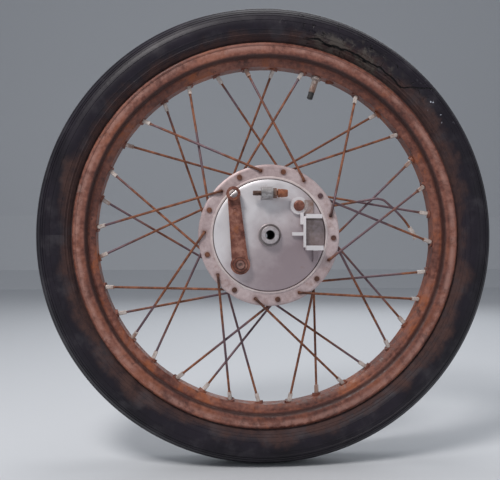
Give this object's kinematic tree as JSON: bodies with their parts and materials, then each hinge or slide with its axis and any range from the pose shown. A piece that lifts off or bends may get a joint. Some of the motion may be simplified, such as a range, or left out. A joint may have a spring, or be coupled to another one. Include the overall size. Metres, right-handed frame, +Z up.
{
  "type": "spoked wheel",
  "caption": "Wire-spoked front wheel of a small motorcycle with its ribbed tyre, rusty steel rim, alloy drum-brake hub and brake plate with cam arm.",
  "frame": {"origin": "centre of the wheel on its spin axis, on the rim's middle plane", "axes": "+Y along the axle away from the brake plate, +Z up, +X to the right as the brake plate is looked at"},
  "size_m": [0.552, 0.1074, 0.552],
  "materials": {
    "tyre_rubber": "matt black rubber, dusty and cracked",
    "rusty_chrome": "rusted steel",
    "rusty_wire": "rusted wire",
    "nipple_plate": "dull plated",
    "cast_alloy": "dull cast aluminium",
    "plate_alloy": "brushed aluminium",
    "rusty_steel": "rusted steel",
    "adjuster_steel": "part rusted, part grey steel",
    "collar_steel": "bright steel",
    "black_rubber": "black rubber",
    "drum_iron": "turned iron",
    "bearing_steel": "ground steel",
    "cage_brass": "pressed brass",
    "brake_lining": "bonded friction material",
    "shoe_alloy": "die-cast aluminium",
    "spring_steel": "oiled spring steel",
    "valve_brass": "dull plated brass",
    "cap_plastic": "black plastic"
  },
  "bodies": {
    "brake_plate_assembly": {"brake_plate": "plate_alloy", "anchor_pin": "rusty_steel", "near_collar": "collar_steel", "far_collar": "collar_steel", "distance_tube": "collar_steel", "near_inner_race": "bearing_steel", "far_inner_race": "bearing_steel", "cam_side_spring": "spring_steel", "anchor_side_spring": "spring_steel"},
    "wheel": {"tyre": "tyre_rubber", "inner_tube": "black_rubber", "rim_tape": "black_rubber", "rim": "rusty_chrome", "valve_stem": "valve_brass", "valve_core": "valve_brass", "valve_cap": "cap_plastic", "valve_nut": "valve_brass", "spokes_near_outer": "rusty_wire", "spokes_near_inner": "rusty_wire", "spokes_far_outer": "rusty_wire", "spokes_far_inner": "rusty_wire", "nipples_near_outer": "nipple_plate", "nipples_near_inner": "nipple_plate", "nipples_far_outer": "nipple_plate", "nipples_far_inner": "nipple_plate", "bent_spoke": "rusty_wire", "loose_nipple": "nipple_plate", "hub_shell": "cast_alloy", "drum_liner": "drum_iron", "near_outer_race": "bearing_steel", "far_outer_race": "bearing_steel", "near_dust_seal": "black_rubber", "far_dust_seal": "black_rubber"},
    "near_ball_set": {"near_balls": "bearing_steel", "near_cage": "cage_brass"},
    "far_ball_set": {"far_balls": "bearing_steel", "far_cage": "cage_brass"},
    "brake_cam": {"camshaft": "rusty_steel", "brake_arm": "rusty_steel"},
    "upper_brake_shoe": {"upper_shoe": "shoe_alloy", "upper_lining": "brake_lining"},
    "lower_brake_shoe": {"lower_shoe": "shoe_alloy", "lower_lining": "brake_lining"},
    "cable_adjuster": {"cable_adjuster": "adjuster_steel", "adjuster_lock_nut": "adjuster_steel"}
  },
  "joints": [
    {"name": "wheel_spin", "type": "hinge", "parent": "brake_plate_assembly", "child": "wheel", "pos_m": [0, 0, 0], "axis": [0, 1, 0], "continuous": true},
    {"name": "near_ball_orbit", "type": "hinge", "parent": "brake_plate_assembly", "child": "near_ball_set", "pos_m": [0, 0, 0], "axis": [0, 1, 0], "continuous": true},
    {"name": "far_ball_orbit", "type": "hinge", "parent": "brake_plate_assembly", "child": "far_ball_set", "pos_m": [0, 0, 0], "axis": [0, 1, 0], "continuous": true},
    {"name": "brake_cam_turn", "type": "hinge", "parent": "brake_plate_assembly", "child": "brake_cam", "pos_m": [-0.0343, 0, -0.0343], "axis": [0, 1, 0], "range_deg": [0, 9.5], "stiffness_Nm_per_rad": 2, "springref_deg": -5.73},
    {"name": "upper_shoe_pivot", "type": "hinge", "parent": "brake_plate_assembly", "child": "upper_brake_shoe", "pos_m": [0.0343, 0, 0.0343], "axis": [0, 1, 0], "range_deg": [0, 0.4]},
    {"name": "lower_shoe_pivot", "type": "hinge", "parent": "brake_plate_assembly", "child": "lower_brake_shoe", "pos_m": [0.0343, 0, 0.0343], "axis": [0, 1, 0], "range_deg": [-0.4, 0]},
    {"name": "adjuster_travel", "type": "slide", "parent": "brake_plate_assembly", "child": "cable_adjuster", "axis": [1, 0, 0], "range_m": [0, 0.006]}
  ],
  "couplings": [
    {"joint": "near_ball_orbit", "follows": "wheel_spin", "ratio": 0.6327},
    {"joint": "far_ball_orbit", "follows": "wheel_spin", "ratio": 0.6327},
    {"joint": "upper_shoe_pivot", "follows": "brake_cam_turn", "ratio": 0.0421},
    {"joint": "lower_shoe_pivot", "follows": "brake_cam_turn", "ratio": -0.0421}
  ]
}
